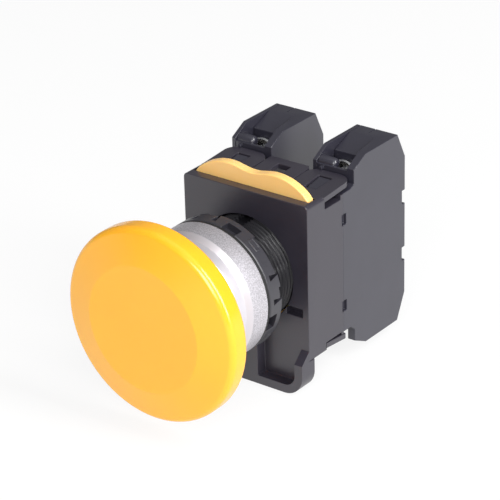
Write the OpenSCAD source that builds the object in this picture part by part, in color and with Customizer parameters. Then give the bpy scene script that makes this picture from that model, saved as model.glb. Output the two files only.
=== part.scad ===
// Mushroom push button for a round panel hole, with its holder and two contact blocks.
// The button moves along y: it faces -y, and the panel's front face is the plane y = 0.
// Behind the panel follow the ring nut, the threaded shank, the holder and the contact blocks.

/* [Mushroom cap] */
// Diameter of the cap
cap_d = 40; // [38:0.5:44]
// Diameter of the flat disc on the cap's front
cap_disc_d = 26; // [22:0.5:28]
// Distance of the cap's front face from the panel
cap_front = 21.6; // [21.4:0.1:23]
// Height of the cap from front face to rear rim
cap_h = 6.6; // [6.2:0.1:7]
// Radius of the cap's front edge
cap_edge_r = 3; // [2:0.1:3.4]
// Number of ribs under the cap
cap_ribs = 6; // [3:1:12]

/* [Operator] */
// Travel of the button
travel = 4.3; // [3:0.1:4.3]
// Diameter of the threaded shank that passes through the panel
shank_d = 22; // [21.8:0.1:22]
// Diameter of the bezel ring at the panel
bezel_d = 28; // [27.5:0.1:28.4]
// Thickness of the gasket behind the bezel ring
gasket_t = 0.7; // [0.5:0.1:0.9]
// Diameter of the ring nut
nut_d = 28; // [27:0.1:28.4]
// Height of the ring nut
nut_h = 3.9; // [3.5:0.1:5]
// Angle of the first spanner notch, counted from +x towards +z
nut_notch_angle = 72.5; // [0:0.5:90]

/* [Holder] */
// Width of the holder
holder_w = 30; // [29.8:0.1:30.4]
// Distance of the holder's front face from the panel
holder_y = 10.9; // [10.9:0.1:11]
// Travel of the release latch
latch_travel = 2; // [1.5:0.1:2]

/* [Contact blocks] */
// Width of one contact block
block_w = 9.85; // [9.7:0.05:9.9]
// Half of the height of a contact block
block_half_h = 20.8; // [20.5:0.1:21.5]
// Distance of the contact blocks' rear face from the panel
block_rear = 44.8; // [44.6:0.1:46]
// Open gap of the normally open contact
contact_gap = 2.75; // [2:0.05:2.75]
// Diameter of the screwdriver holes in the rear face
driver_d = 5; // [4.6:0.1:5.2]

/* [Hidden] */
$fn = 96;

// Colours as the photograph shows them
yellow = "#f6b000";
latch_yellow = "#f5a800";
silver = "#b9babd";
black = "#1d1d20";
block_black = "#26262a";
rubber_black = "#141415";
steel = "#a8a9ab";
brass = "#b58a42";
copper_alloy = "#b87a4a";
white_plastic = "#e4e2da";

// Overlap that lets one cut run past another
e = 0.1;

cap_r = cap_d / 2;
cap_y0 = -cap_front;
cap_y1 = cap_y0 + cap_h;
boss_r = 8.3;
boss_y1 = -11.6;
nose_r = 5.45;
stem_r = 8.52;
stem_y1 = 0.6;
rod_r = 4.4;
spigot_r = 2.5;
plate_y0 = 16.3;
plate_t = 1.6;
plate_y1 = plate_y0 + plate_t;
plate_half_w = 12.5;

shank_r = shank_d / 2;
shank_end = 16.2;
body_front = -8;
bezel_front = -8.6;
bore_r = stem_r + 0.08;
spring_bore_r = 7.4;
stop_y = stem_y1 + travel + 0.05;
web_y0 = 11;
web_y1 = 12.6;
groove_r = 9.7;
keyway_w = 3.1;

nut_r = nut_d / 2;
nut_bore_r = shank_r + 0.05;

holder_half = holder_w / 2;
holder_top = 16.8;
holder_bottom = -16.9;
wall_y1 = holder_y + 2.1;
latch_y0 = wall_y1 + 0.05;
latch_t = 2;
latch_y1 = latch_y0 + latch_t;
chamber_y1 = latch_y1 + 0.1;
mid_wall_y1 = shank_end;
frame_y1 = 22.9;
frame_half_h = 14.2;
hole_r = shank_r + 0.35;
chamber_half_w = 13.4;
chamber_half_h = 12;
tongue_y0 = 17.2;
hook_bottom = -23.7;
hook_front = 8.4;

latch_hole_r = shank_r + 0.3;
latch_spring_x = 11.5;
pad_half = 13.6;
pad_hump_x = 5.5;

left_x = -14.95;
right_x = 5.1;
cover_t = 0.9;
case_x0 = cover_t + 0.05;
pocket_x1 = 8.1;
pocket_y0 = 29.65;
pocket_y1 = 32.85;
pocket_z0 = 11.4;
plunger_x = 4.92;
screw_x = 3.72;
screw_z = 14.35;
terminal_y = 30.3;
terminal_t = 0.8;
peg_y = 40.6;
peg_z = 19;
clamp_y = 32;
clamp_t = 0.7;
cavity_z = 9.6;
cavity_y0 = 24.4;
cavity_y1 = 43.2;
tip_t = 0.4;
bar_t = 0.6;
contact_z = 6.8;
// Front face of the contact arm in the normally closed and in the normally open block
closed_arm_y = terminal_y;
open_arm_y = 34.6;
// Front face of the moving bar in each block
closed_bar_y = closed_arm_y + terminal_t + 2 * tip_t + 0.02;
open_bar_y = open_arm_y - 2 * tip_t - contact_gap - bar_t;

// Points on an arc about a centre
function arc(cx, cy, r, a0, a1, n = 6) =
    [for (i = [0:n]) let (a = a0 + (a1 - a0) * i / n) [cx + r * cos(a), cy + r * sin(a)]];

// Height of the latch's press pad over its width: two humps with a dip between them
function pad_top(x) = abs(x) < pad_hump_x
    ? holder_top + 3.225 - 0.375 * cos(180 * abs(x) / pad_hump_x)
    : holder_top + 3.6 * pow(max(0, 1 - pow((abs(x) - pad_hump_x) / (pad_half - pad_hump_x), 2)), 0.8);

// Body turned about the y axis from points (radius, y)
module turned(profile) {
    rotate([-90, 0, 0]) rotate_extrude() polygon(profile);
}

// Part of a ring between two angles, counted from +x towards +z
module sector(r0, r1, y0, y1, a0, a1) {
    rotate([-90, 0, 0]) rotate([0, 0, -a1]) rotate_extrude(angle = a1 - a0)
        translate([r0, y0]) square([r1 - r0, y1 - y0]);
}

// Plate drawn in the xz plane and raised along y
module along_y(y0, y1) {
    translate([0, y1, 0]) rotate([90, 0, 0]) linear_extrude(y1 - y0) children();
}

// Outline drawn in the yz plane and raised along x
module along_x(x0, x1) {
    translate([x0, 0, 0]) rotate([90, 0, 90]) linear_extrude(x1 - x0) children();
}

// Cylinder along y
module rod_y(r, y0, y1) {
    translate([0, y0, 0]) rotate([-90, 0, 0]) cylinder(r = r, h = y1 - y0);
}

// Box between two corners
module box(p, q) {
    translate(p) cube(q - p);
}

// Rectangle between two corners with its corners rounded
module round_rect(x0, z0, x1, z1, r) {
    translate([x0 + r, z0]) square([x1 - x0 - 2 * r, z1 - z0]);
    translate([x0, z0 + r]) square([x1 - x0, z1 - z0 - 2 * r]);
    for (x = [x0 + r, x1 - r], z = [z0 + r, z1 - r]) translate([x, z]) circle(r, $fn = 48);
}

// Coil spring along z from z = 0, swept as a six-sided wire
module coil(mean_r, wire_r, length, turns, steps = 14, sides = 6) {
    n = round(turns * steps);
    points = [
        for (i = [0:n], j = [0:sides - 1])
            let (a = 360 * i / steps, b = 360 * j / sides, r = mean_r + wire_r * cos(b))
            [r * cos(a), r * sin(a), wire_r + (length - 2 * wire_r) * i / n + wire_r * sin(b)]
    ];
    walls = [
        for (i = [0:n - 1], j = [0:sides - 1])
            let (k = (j + 1) % sides)
            [i * sides + j, i * sides + k, (i + 1) * sides + k, (i + 1) * sides + j]
    ];
    first = [[for (j = [0:sides - 1]) sides - 1 - j]];
    last = [[for (j = [0:sides - 1]) n * sides + j]];
    polyhedron(points, concat(walls, first, last), convexity = 8);
}

// Coil spring along y between two planes
module coil_y(mean_r, wire_r, y0, y1, turns) {
    translate([0, y0, 0]) rotate([-90, 0, 0]) coil(mean_r, wire_r, y1 - y0, turns);
}

// The cap's shell with its threaded boss and the ribs between boss and rim
module mushroom_cap() {
    slope = 16.3;
    blend_r = 8;
    rear_r = 1.1;
    inner_y = cap_y0 + 2.7;
    color(yellow) {
        turned(concat(
            [[0, cap_y0]],
            arc(cap_disc_d / 2 - blend_r * tan(slope / 2), cap_y0 + blend_r, blend_r, -90, -90 + slope, 4),
            arc(cap_r - cap_edge_r, cap_y0 + 4.3, cap_edge_r, -90 + slope, 0, 10),
            arc(cap_r - rear_r, cap_y1 - rear_r, rear_r, 0, 90, 5),
            [[cap_r - 2.4, cap_y1]],
            arc(cap_r - 4.2, inner_y + 1.8, 1.8, 0, -90, 5),
            [[boss_r + 0.4, inner_y], [boss_r, inner_y + 0.4], [boss_r, boss_y1 - 0.3]],
            [[boss_r - 0.3, boss_y1], [nose_r + 0.05, boss_y1], [nose_r + 0.05, cap_y0 + 3], [0, cap_y0 + 3]]
        ));
        for (k = [0:cap_ribs - 1]) rotate([0, 360 * k / cap_ribs, 0])
            box([boss_r - 0.4, inner_y - 0.4, -0.6], [cap_r - 3, inner_y + 2.4, 0.6]);
    }
}

// Stem that carries the cap in front and the actuator plate behind
module button_stem() {
    color(white_plastic) turned([
        [0, -18.3], [nose_r - 0.4, -18.3], [nose_r, -17.9], [nose_r, boss_y1],
        [stem_r - 0.3, boss_y1], [stem_r, boss_y1 + 0.3],
        [stem_r, -4.2], [stem_r - 0.4, -3.8], [stem_r - 0.4, -2.6], [stem_r, -2.2],
        [stem_r, stem_y1 - 0.3], [stem_r - 0.3, stem_y1], [rod_r, stem_y1], [rod_r, plate_y0],
        [spigot_r, plate_y0], [spigot_r, plate_y1], [1.1, plate_y1], [1.1, 10.9], [0, 10.3]
    ]);
}

// Spring that brings the button back out
module return_spring() {
    color(steel) coil_y(6.5, 0.45, stem_y1 + 0.05, web_y0 - 0.05, 5.5);
}

// Lip seal between the stem and the operator's body
module stem_seal() {
    color(rubber_black) turned([
        [stem_r + 0.05, -7.7], [stem_r + 0.45, -7.9], [10.1, -7.9], [10.1, -6.3],
        [stem_r + 0.6, -6.3], [stem_r + 0.4, -7.0]
    ]);
}

// Moulded body: flange behind the bezel ring, shank with keyway and groove for the latch
module operator_body() {
    flange_r = bezel_d / 2 - 0.9;
    color(black) difference() {
        turned([
            [10.2, body_front], [shank_r - 0.3, body_front], [shank_r, body_front + 0.3], [shank_r, -3.6],
            [flange_r, -3.6], [flange_r, -gasket_t], [shank_r, -gasket_t], [shank_r, chamber_y1 - 2.3],
            [groove_r, chamber_y1 - 2.3], [groove_r, chamber_y1], [shank_r, chamber_y1],
            [shank_r, shank_end - 0.4], [shank_r - 0.4, shank_end], [8, shank_end], [8, web_y1],
            [rod_r + 0.07, web_y1], [rod_r + 0.07, web_y0], [spring_bore_r, web_y0],
            [spring_bore_r, stop_y], [bore_r, stop_y], [bore_r, -6.2], [10.2, -6.2]
        ]);
        box([-keyway_w / 2, 0, groove_r + 0.1], [keyway_w / 2, shank_end + e, shank_r + 1]);
    }
}

// Metal ring that clamps on the flange and frames the stem
module bezel_ring() {
    r = bezel_d / 2;
    color(silver) turned([
        [9.5, bezel_front], [r - 1.5, bezel_front], [r - 1.2, bezel_front + 0.3], [r - 1.2, -6.1],
        [r - 0.25, -5.1], [r, -0.85], [r - 0.08, -0.75], [r - 0.8, -0.75],
        [r - 0.8, -3.65], [shank_r + 0.1, -3.65], [shank_r + 0.1, body_front - 0.1], [9.5, body_front - 0.1]
    ]);
}

// Flat gasket between bezel ring and panel
module panel_gasket() {
    color(rubber_black) turned([
        [nut_bore_r, -gasket_t], [bezel_d / 2 - 0.15, -gasket_t], [bezel_d / 2 - 0.05, -gasket_t / 2],
        [bezel_d / 2 - 0.15, 0], [nut_bore_r, 0]
    ]);
}

// Ring nut with spanner notches, cut-back rear edge, marking pockets and raised frames
module lock_nut() {
    notch_w = 3.3;
    notch_depth = 1.5;
    notch_y1 = 2.35;
    color(black) difference() {
        union() {
            turned([
                [nut_bore_r, 0], [nut_r - 0.2, 0], [nut_r, 0.2], [nut_r, nut_h - 0.25],
                [nut_r - 0.25, nut_h], [nut_bore_r + 0.3, nut_h], [nut_bore_r, nut_h - 0.3]
            ]);
            for (k = [0:3]) let (a = nut_notch_angle + 90 * k) difference() {
                sector(nut_r - 0.1, nut_r + 0.15, 1.35, 2.95, a + 62.5, a + 74);
                sector(nut_r, nut_r + 1, 1.65, 2.65, a + 63.7, a + 72.8);
            }
        }
        for (k = [0:3]) let (a = nut_notch_angle + 90 * k) {
            rotate([0, -a, 0])
                box([nut_r - notch_depth, -e, -notch_w / 2], [nut_r + 1, notch_y1, notch_w / 2]);
            sector(nut_r - 1.1, nut_r + 1, nut_h - 0.75, nut_h + e, a + 18.5, a + 28.5);
            sector(nut_r - 1.1, nut_r + 1, nut_h - 0.75, nut_h + e, a + 39.5, a + 73.5);
            for (b = [18.5, 39]) rotate([0, -a - b, 0])
                along_x(nut_r - 1.2, nut_r + 1) polygon([[1.2, -0.6], [1.2, 0.6], [nut_h + e, 0]]);
        }
    }
}

// Crossbar on the stem that pushes the plungers of the contact blocks
module actuator_plate() {
    color(white_plastic) difference() {
        along_y(plate_y0, plate_y1) union() {
            round_rect(-plate_half_w, -3, plate_half_w, 3, 1);
            circle(6.2);
        }
        rod_y(spigot_r + 0.05, plate_y0 - e, plate_y1 + e);
        for (s = [-1, 1]) box([s * 6 - 1, plate_y0 - e, -0.8], [s * 6 + 1, plate_y1 + e, 0.8]);
    }
}

// Pan head screw that holds the crossbar on the stem
module actuator_screw() {
    color(steel) difference() {
        turned([
            [0, 11.1], [0.6, 11.1], [1.05, 11.6], [1.05, plate_y1 + 0.05], [2.75, plate_y1 + 0.05],
            [2.75, plate_y1 + 0.6], [2.3, plate_y1 + 1.2], [0, plate_y1 + 1.3]
        ]);
        for (a = [0, 90]) rotate([0, a, 0])
            box([-1.5, plate_y1 + 0.6, -0.25], [1.5, plate_y1 + 2, 0.25]);
    }
}

// One snap tongue of the holder, drawn at the top, with the window for the block's hook
module tongue(x0, x1, y1, z_start, z_end, corner, window_y1) {
    thickness = 1.2;
    difference() {
        intersection() {
            along_x(x0, x1) polygon([
                [16.4, z_start], [tongue_y0, z_start], [y1, z_end], [y1, z_end - thickness],
                [tongue_y0, z_start - thickness + 0.05], [16.4, z_start - thickness + 0.05]
            ]);
            translate([0, 0, frame_half_h]) linear_extrude(5) union() {
                translate([x0, 16]) square([x1 - x0, y1 - corner - 16]);
                translate([x0 + corner, 16]) square([x1 - x0 - 2 * corner, y1 - 16]);
                for (x = [x0 + corner, x1 - corner]) translate([x, y1 - corner]) circle(corner, $fn = 48);
            }
        }
        box([(x0 + x1) / 2 - 1.55, 18.8, frame_half_h], [(x0 + x1) / 2 + 1.55, window_y1, 20]);
    }
}

// Hook at the holder's lower edge: floor plate, raised rim and centre bridge
module holder_hook() {
    rim_w = 1.85;
    bridge_half = 4.1;
    corner = 4.4;
    module outline(inset, r) {
        intersection() {
            round_rect(-holder_half + inset, hook_bottom + inset, holder_half - inset, 0, r);
            translate([-20, -30]) square([40, 30 - 16.7]);
        }
    }
    along_y(holder_y, holder_y + 1.85) outline(0, corner);
    along_y(hook_front, holder_y + e) difference() {
        outline(0, corner);
        difference() {
            outline(rim_w, corner - rim_w);
            translate([-bridge_half, -30]) square([2 * bridge_half, 30]);
        }
    }
    for (x = [-holder_half, holder_half - rim_w]) along_x(x, x + rim_w)
        polygon([[hook_front, -16.75], [holder_y + e, -14.3], [holder_y + e, -16.75]]);
    along_x(-bridge_half, bridge_half) polygon([
        [hook_front, -16.75], [hook_front, -13.4], [9.2, -12.6], [holder_y + e, -12.6], [holder_y + e, -16.75]
    ]);
}

// Holder behind the panel: grips the shank with its latch and carries the contact blocks
module holder() {
    color(black) {
        difference() {
            union() {
                along_y(holder_y, 16.8) union() {
                    round_rect(-holder_half, holder_bottom + 5, holder_half, holder_top, 0.9);
                    round_rect(-holder_half, holder_bottom, holder_half, 0, 0.6);
                }
                box([-holder_half, 16, -frame_half_h], [holder_half, frame_y1, frame_half_h]);
                for (x = [-holder_half, chamber_half_w]) {
                    box([x, 22.1, frame_half_h - e], [x + holder_half - chamber_half_w, frame_y1, 15.1]);
                    box([x, 16.5, -14.95], [x + holder_half - chamber_half_w, frame_y1, -frame_half_h + e]);
                    box([x, 22.1, -15.55], [x + holder_half - chamber_half_w, frame_y1, -frame_half_h + e]);
                }
                holder_hook();
            }
            rod_y(hole_r, holder_y - 4, mid_wall_y1 + e);
            box([-13.1, wall_y1, -15.3], [13.1, chamber_y1, 13]);
            box([-14.1, wall_y1, 12.2], [14.1, chamber_y1, 20]);
            box([-10.1, wall_y1, -20], [10.1, chamber_y1, -15]);
            box(
                [-chamber_half_w, mid_wall_y1, -chamber_half_h],
                [chamber_half_w, frame_y1 + e, chamber_half_h]
            );
            box([9.6, holder_y - e, -7.35], [13.55, wall_y1 + e, -5.55]);
            for (x = [-15.1, 14.2], z = [-10.6, 8.3])
                box([x, 22.5, z], [x + 0.9, frame_y1 + e, z + 2.3]);
        }
        for (x = [-5, 5], t = [0, 1]) mirror([0, 0, t])
            box([x - 0.5, 18.4, 4.6], [x + 0.5, frame_y1, chamber_half_h + e]);
        tongue(-14.8, -5.1, 26.45, 16.6, 17.2, 2.6, 24.3);
        tongue(-4.9, 4.9, 26.45, 16.6, 17.2, 0.8, 24.3);
        tongue(5.1, 14.8, 26.45, 16.6, 17.2, 2.6, 24.3);
        mirror([0, 0, 1]) {
            tongue(-14.9, -5.1, 23.75, 16.35, 17.0, 0.3, 22.7);
            tongue(-4.9, 4.9, 23.75, 16.35, 17.0, 0.3, 22.7);
            tongue(5.1, 14.9, 23.75, 16.35, 17.0, 0.3, 22.7);
        }
    }
}

// Latch plate: press pad on top, opening round the shank, tail through the bottom wall
module release_latch() {
    body_half = 12.8;
    tail_half = 9.9;
    color(latch_yellow) along_y(latch_y0, latch_y1) difference() {
        polygon(concat(
            [[pad_half, 15.4], [body_half, 14.4], [body_half, -9], [tail_half, -9], [tail_half, -17.2]],
            [[-tail_half, -17.2], [-tail_half, -9], [-body_half, -9], [-body_half, 14.4], [-pad_half, 15.4]],
            [for (i = [0:32]) let (x = pad_half * (i / 16 - 1)) [x, pad_top(x)]]
        ));
        translate([0, latch_travel]) circle(latch_hole_r);
        circle(groove_r + 0.15);
    }
}

// Spring under one shoulder of the latch
module latch_spring(side) {
    color(steel) translate([side * latch_spring_x, (latch_y0 + latch_y1) / 2, -15.25])
        coil(0.8, 0.18, 6.2, 8, 10, 6);
}

// Side outline of a contact block as points (y, z)
function block_outline() = [
    [frame_y1, -15.15], [25.4, -15.2], [26.75, -16.2], [26.75, -18.9], [30.7, -block_half_h],
    [42.1, -block_half_h], [block_rear, -15.25], [block_rear, 15.25], [42.1, block_half_h],
    [30.7, block_half_h], [26.75, 18.7], [26.75, 15.7], [25.4, 15.2], [frame_y1, 15.15]
];

// Cuts that the upper terminal needs in a block: wire funnel with its ramp, pocket, hole for the
// screwdriver, room for the screw and slot for the terminal. In plan the funnel narrows towards the rear.
// lip_z is the height of the front wall's lip
module terminal_cuts(lip_z) {
    intersection() {
        along_x(case_x0 - e, block_w) polygon([
            [26, lip_z], [27.3, lip_z], [pocket_y0, 16.4], [pocket_y0, pocket_z0], [pocket_y1, pocket_z0],
            [pocket_y1, 18.8], [38.2, block_half_h], [38.3, 22], [26, 22]
        ]);
        linear_extrude(30)
            polygon([[0, 25], [pocket_x1, 25], [pocket_x1, 30.3], [7.5, 35], [6.7, 39], [0, 39]]);
    }
    translate([screw_x, 0, screw_z]) {
        rod_y(driver_d / 2, 36.5, block_rear + 1);
        rod_y(2.75, pocket_y1 - e, 36.8);
        rod_y(1.8, 27.2, pocket_y0 + e);
    }
    box([4.45, 39.6, block_half_h - 0.15], [4.65, 42.2, block_half_h + 1]);
    box([1.55, terminal_y - 0.1, cavity_z - e], [5.9, terminal_y + terminal_t + 0.1, 12]);
}

// The two pegs that join case and cover, or their holes
module peg(r, x0, x1) {
    for (z = [-peg_z, peg_z])
        translate([x0, peg_y, z]) rotate([0, 90, 0]) cylinder(r = r, h = x1 - x0);
}

// Hook by which a block snaps into a tongue's window, drawn at the top
module block_hook(y1) {
    along_x(plunger_x - 2.6, plunger_x + 2.6)
        polygon([[19.4, 14.4], [frame_y1 + e, 14.4], [frame_y1 + e, 15.15], [19.4, 15.15]]);
    along_x(plunger_x - 1.38, plunger_x + 1.38)
        polygon([
            [19.1, 14.6], [19.1, 15.2], [20.3, 16.3], [y1 - 0.5, 16.8], [y1, 16.8], [y1, 15.1],
            [frame_y1, 14.6]
        ]);
}

// Rounded guide that keeps a wire beside the screw, drawn at the top
module wire_guide() {
    r = 1.15;
    x1 = 4.95;
    translate([0, 28.3, 18.2]) rotate([0, 0, -90]) turned([
        [0, case_x0], [r, case_x0], [r, x1 - 0.8], [r - 0.1, x1 - 0.4],
        [r - 0.35, x1 - 0.12], [r - 0.7, x1], [0, x1]
    ]);
    box([case_x0, 28.3 - r, 16.3], [x1 - 0.9, 28.3 + r, 18.2]);
}

// Notches that mark the block's rear edge
module rear_notches(x0, x1) {
    for (z = [-7.8, 4.9]) box([x0, block_rear - 1, z], [x1, block_rear + e, z + 2.9]);
}

// Housing of a contact block, open towards its cover
module block_case() {
    color(block_black) {
        difference() {
            union() {
                along_x(case_x0, block_w) polygon(block_outline());
                block_hook(24.1);
                mirror([0, 0, 1]) block_hook(22.5);
                box([1.9, 26.1, 17.25], [2.6, 27, 17.85]);
            }
            box([case_x0 - e, cavity_y0, -cavity_z], [8.6, 41.6, cavity_z]);
            box([case_x0 - e, 41.5, -3.2], [8.6, cavity_y1, 3.2]);
            translate([plunger_x, 0, 0]) rod_y(1.95, frame_y1 - e, cavity_y0 + e);
            terminal_cuts(18.2);
            mirror([0, 0, 1]) terminal_cuts(16.6);
            rear_notches(-e, block_w + e);
            for (z = [-10.6, 8.3]) box([block_w - 0.7, frame_y1 - e, z], [block_w + e, 24, z + 2.3]);
            along_y(24.5, 26) round_rect(2.2, -18, 8, -16, 0.9);
        }
        for (t = [0, 1]) mirror([0, 0, t]) wire_guide();
        peg(0.85, 0.1, case_x0 + e);
    }
}

// Side cover of a contact block, held by the case's two pegs
module block_cover() {
    color(block_black) difference() {
        along_x(0, cover_t) polygon(block_outline());
        rear_notches(-e, 2);
        peg(0.9, -e, cover_t + e);
    }
}

// Plunger: round nose, collar behind the front wall and a cage for the moving bar
module block_plunger(cage_y0, cage_y1) {
    cheek = 0.7;
    inner = 1.9;
    color(white_plastic) translate([plunger_x, 0, 0]) {
        rod_y(1.85, plate_y1 + 0.1, cage_y0 - 0.4);
        rod_y(2.6, cavity_y0 + 0.05, cavity_y0 + 0.85);
        box([-inner - cheek, cage_y0 - 0.8, -2.4], [inner + cheek, cage_y0, 2.4]);
        box([-inner - cheek, cage_y1, -2.4], [inner + cheek, cage_y1 + 0.8, 2.4]);
        for (x = [-inner - cheek, inner])
            box([x, cage_y0 - e, -2.4], [x + cheek, cage_y1 + e, 2.4]);
    }
}

// Moving bar with a contact tip at each end; tips face forwards or backwards
module block_bridge(bar_y, tips_forward) {
    tip_y = tips_forward ? bar_y - tip_t : bar_y + bar_t;
    color(copper_alloy) translate([plunger_x, 0, 0]) {
        along_y(bar_y, bar_y + bar_t) round_rect(-1.5, -contact_z - 1.2, 1.5, contact_z + 1.2, 0.6);
        for (t = [-1, 1]) translate([0, 0, t * contact_z]) rod_y(1.1, tip_y, tip_y + tip_t);
    }
}

// Fixed terminal: clamp plate, strip down to the contact arm, and the contact tip
module block_terminal(arm_y, tip_behind) {
    tip_y = tip_behind ? arm_y + terminal_t : arm_y - tip_t;
    arm_z0 = contact_z - 1.2;
    arm_z1 = cavity_z - 0.1;
    plate_z1 = 16.2;
    color(brass) difference() {
        union() {
            box([1.75, terminal_y, arm_z1 - 1], [5.7, terminal_y + terminal_t, plate_z1]);
            box([1.75, terminal_y, arm_z1 - 0.8], [plunger_x + 1.5, arm_y + terminal_t, arm_z1]);
            box([plunger_x - 1.5, arm_y, arm_z0], [plunger_x + 1.5, arm_y + terminal_t, arm_z1 - 0.5]);
            translate([plunger_x, 0, contact_z]) rod_y(1.2, tip_y, tip_y + tip_t);
        }
        translate([screw_x, 0, screw_z]) rod_y(1.55, terminal_y - e, terminal_y + terminal_t + e);
    }
}

// Clamp washer of a terminal, held open under the screw head, with flats at its foot and side
module block_clamp() {
    r = 3.05;
    clamp_y1 = clamp_y + clamp_t;
    color(steel) translate([screw_x, 0, screw_z]) difference() {
        turned([
            [1.6, clamp_y], [r - 0.25, clamp_y], [r, clamp_y + 0.25], [r, clamp_y1], [1.6, clamp_y1]
        ]);
        box([-4, clamp_y - e, -4], [4, clamp_y1 + e, -2.4]);
        box([-4, clamp_y - e, -4], [-2.6, clamp_y1 + e, 4]);
    }
}

// Terminal screw: pan head with a cross recess, shank through clamp washer and plate
module block_screw() {
    head_y = clamp_y + clamp_t + 0.03;
    color(steel) translate([screw_x, 0, screw_z]) difference() {
        turned([
            [0, 27.7], [1.2, 27.7], [1.5, 28], [1.5, head_y], [2.6, head_y], [2.6, head_y + 0.9],
            [2.1, head_y + 1.6], [0, head_y + 1.7]
        ]);
        for (a = [0, 90]) rotate([0, a, 0])
            box([-1.5, head_y + 0.8, -0.3], [1.5, head_y + 2, 0.3]);
    }
}

module left_case() { translate([left_x, 0, 0]) block_case(); }
module right_case() { translate([right_x, 0, 0]) block_case(); }
module left_cover() { translate([left_x, 0, 0]) block_cover(); }
module right_cover() { translate([right_x, 0, 0]) block_cover(); }

// The bar of the normally open block lies at the rear end of its cage, with the spring in front
open_cage_y0 = open_bar_y - 3.1;
open_cage_y1 = open_bar_y + bar_t + 0.03;
module left_plunger() { translate([left_x, 0, 0]) block_plunger(open_cage_y0, open_cage_y1); }
module left_bridge() { translate([left_x, 0, 0]) block_bridge(open_bar_y, false); }
module left_contact_spring() {
    color(steel) translate([left_x + plunger_x, 0, 0])
        coil_y(1.2, 0.15, open_cage_y0 + 0.03, open_bar_y - 0.03, 5);
}
module left_plunger_spring() {
    color(steel) translate([left_x + plunger_x, 0, 0])
        coil_y(1.9, 0.2, open_cage_y1 + 0.85, cavity_y1 - 0.05, 9);
}

// The bar of the normally closed block lies at the front end of its cage, with the spring behind
closed_cage_y0 = closed_bar_y - 0.03;
closed_cage_y1 = closed_bar_y + bar_t + 2.2;
module right_plunger() { translate([right_x, 0, 0]) block_plunger(closed_cage_y0, closed_cage_y1); }
module right_bridge() { translate([right_x, 0, 0]) block_bridge(closed_bar_y, true); }
module right_contact_spring() {
    color(steel) translate([right_x + plunger_x, 0, 0])
        coil_y(1.2, 0.15, closed_bar_y + bar_t + 0.03, closed_cage_y1 - 0.03, 4);
}
module right_plunger_spring() {
    color(steel) translate([right_x + plunger_x, 0, 0])
        coil_y(1.9, 0.2, closed_cage_y1 + 0.85, cavity_y1 - 0.05, 6);
}

module left_upper_terminal() { translate([left_x, 0, 0]) block_terminal(open_arm_y, false); }
module left_lower_terminal() { mirror([0, 0, 1]) left_upper_terminal(); }
module right_upper_terminal() { translate([right_x, 0, 0]) block_terminal(closed_arm_y, true); }
module right_lower_terminal() { mirror([0, 0, 1]) right_upper_terminal(); }
module left_upper_clamp() { translate([left_x, 0, 0]) block_clamp(); }
module left_lower_clamp() { mirror([0, 0, 1]) left_upper_clamp(); }
module right_upper_clamp() { translate([right_x, 0, 0]) block_clamp(); }
module right_lower_clamp() { mirror([0, 0, 1]) right_upper_clamp(); }
module left_upper_screw() { translate([left_x, 0, 0]) block_screw(); }
module left_lower_screw() { mirror([0, 0, 1]) left_upper_screw(); }
module right_upper_screw() { translate([right_x, 0, 0]) block_screw(); }
module right_lower_screw() { mirror([0, 0, 1]) right_upper_screw(); }

module latch_spring_left() { latch_spring(-1); }
module latch_spring_right() { latch_spring(1); }

mushroom_cap();
button_stem();
return_spring();
stem_seal();
operator_body();
bezel_ring();
panel_gasket();
lock_nut();
actuator_plate();
actuator_screw();
holder();
release_latch();
latch_spring_left();
latch_spring_right();
left_case();
left_cover();
left_plunger();
left_bridge();
left_contact_spring();
left_plunger_spring();
left_upper_terminal();
left_lower_terminal();
left_upper_clamp();
left_lower_clamp();
left_upper_screw();
left_lower_screw();
right_case();
right_cover();
right_plunger();
right_bridge();
right_contact_spring();
right_plunger_spring();
right_upper_terminal();
right_lower_terminal();
right_upper_clamp();
right_lower_clamp();
right_upper_screw();
right_lower_screw();
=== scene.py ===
import math

import bmesh
import bpy
import numpy as np
from mathutils import Matrix


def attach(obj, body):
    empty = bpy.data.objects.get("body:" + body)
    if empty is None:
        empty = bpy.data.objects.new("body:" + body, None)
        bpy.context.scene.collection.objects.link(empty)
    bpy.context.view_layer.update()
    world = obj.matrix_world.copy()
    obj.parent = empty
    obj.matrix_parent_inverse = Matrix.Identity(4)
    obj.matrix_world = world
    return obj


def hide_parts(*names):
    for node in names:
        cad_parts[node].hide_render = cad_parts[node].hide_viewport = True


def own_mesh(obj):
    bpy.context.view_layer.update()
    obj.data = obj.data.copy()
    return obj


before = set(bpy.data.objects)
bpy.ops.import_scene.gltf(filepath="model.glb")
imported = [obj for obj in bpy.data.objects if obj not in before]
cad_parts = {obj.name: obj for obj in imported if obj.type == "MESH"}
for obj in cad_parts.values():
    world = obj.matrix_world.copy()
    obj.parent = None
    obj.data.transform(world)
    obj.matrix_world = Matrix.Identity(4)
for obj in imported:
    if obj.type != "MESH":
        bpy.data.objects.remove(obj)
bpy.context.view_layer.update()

# Camera
# The photograph was taken from the front, 37.5 degrees round to the right and 25.9 degrees up,
# with a long lens. Its image is 500 pixels square, and the focal length is given in pixels.
IMAGE_PX = 500
FOCAL_PX = 2427.0
SENSOR_MM = 36.0
CAMERA_YAW = math.radians(37.481)
CAMERA_PITCH = math.radians(25.854)
CAMERA_ROLL = math.radians(-1.528)
CAMERA_PLACE = np.array([0.261659, -0.328973, 0.211595])
CLIP_START = 0.01

view_forward = np.array([
    -math.sin(CAMERA_YAW) * math.cos(CAMERA_PITCH),
    math.cos(CAMERA_YAW) * math.cos(CAMERA_PITCH),
    -math.sin(CAMERA_PITCH),
])
level_right = np.array([math.cos(CAMERA_YAW), math.sin(CAMERA_YAW), 0.0])
level_up = np.cross(level_right, view_forward)
view_right = math.cos(CAMERA_ROLL) * level_right + math.sin(CAMERA_ROLL) * level_up
view_up = -math.sin(CAMERA_ROLL) * level_right + math.cos(CAMERA_ROLL) * level_up

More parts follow.
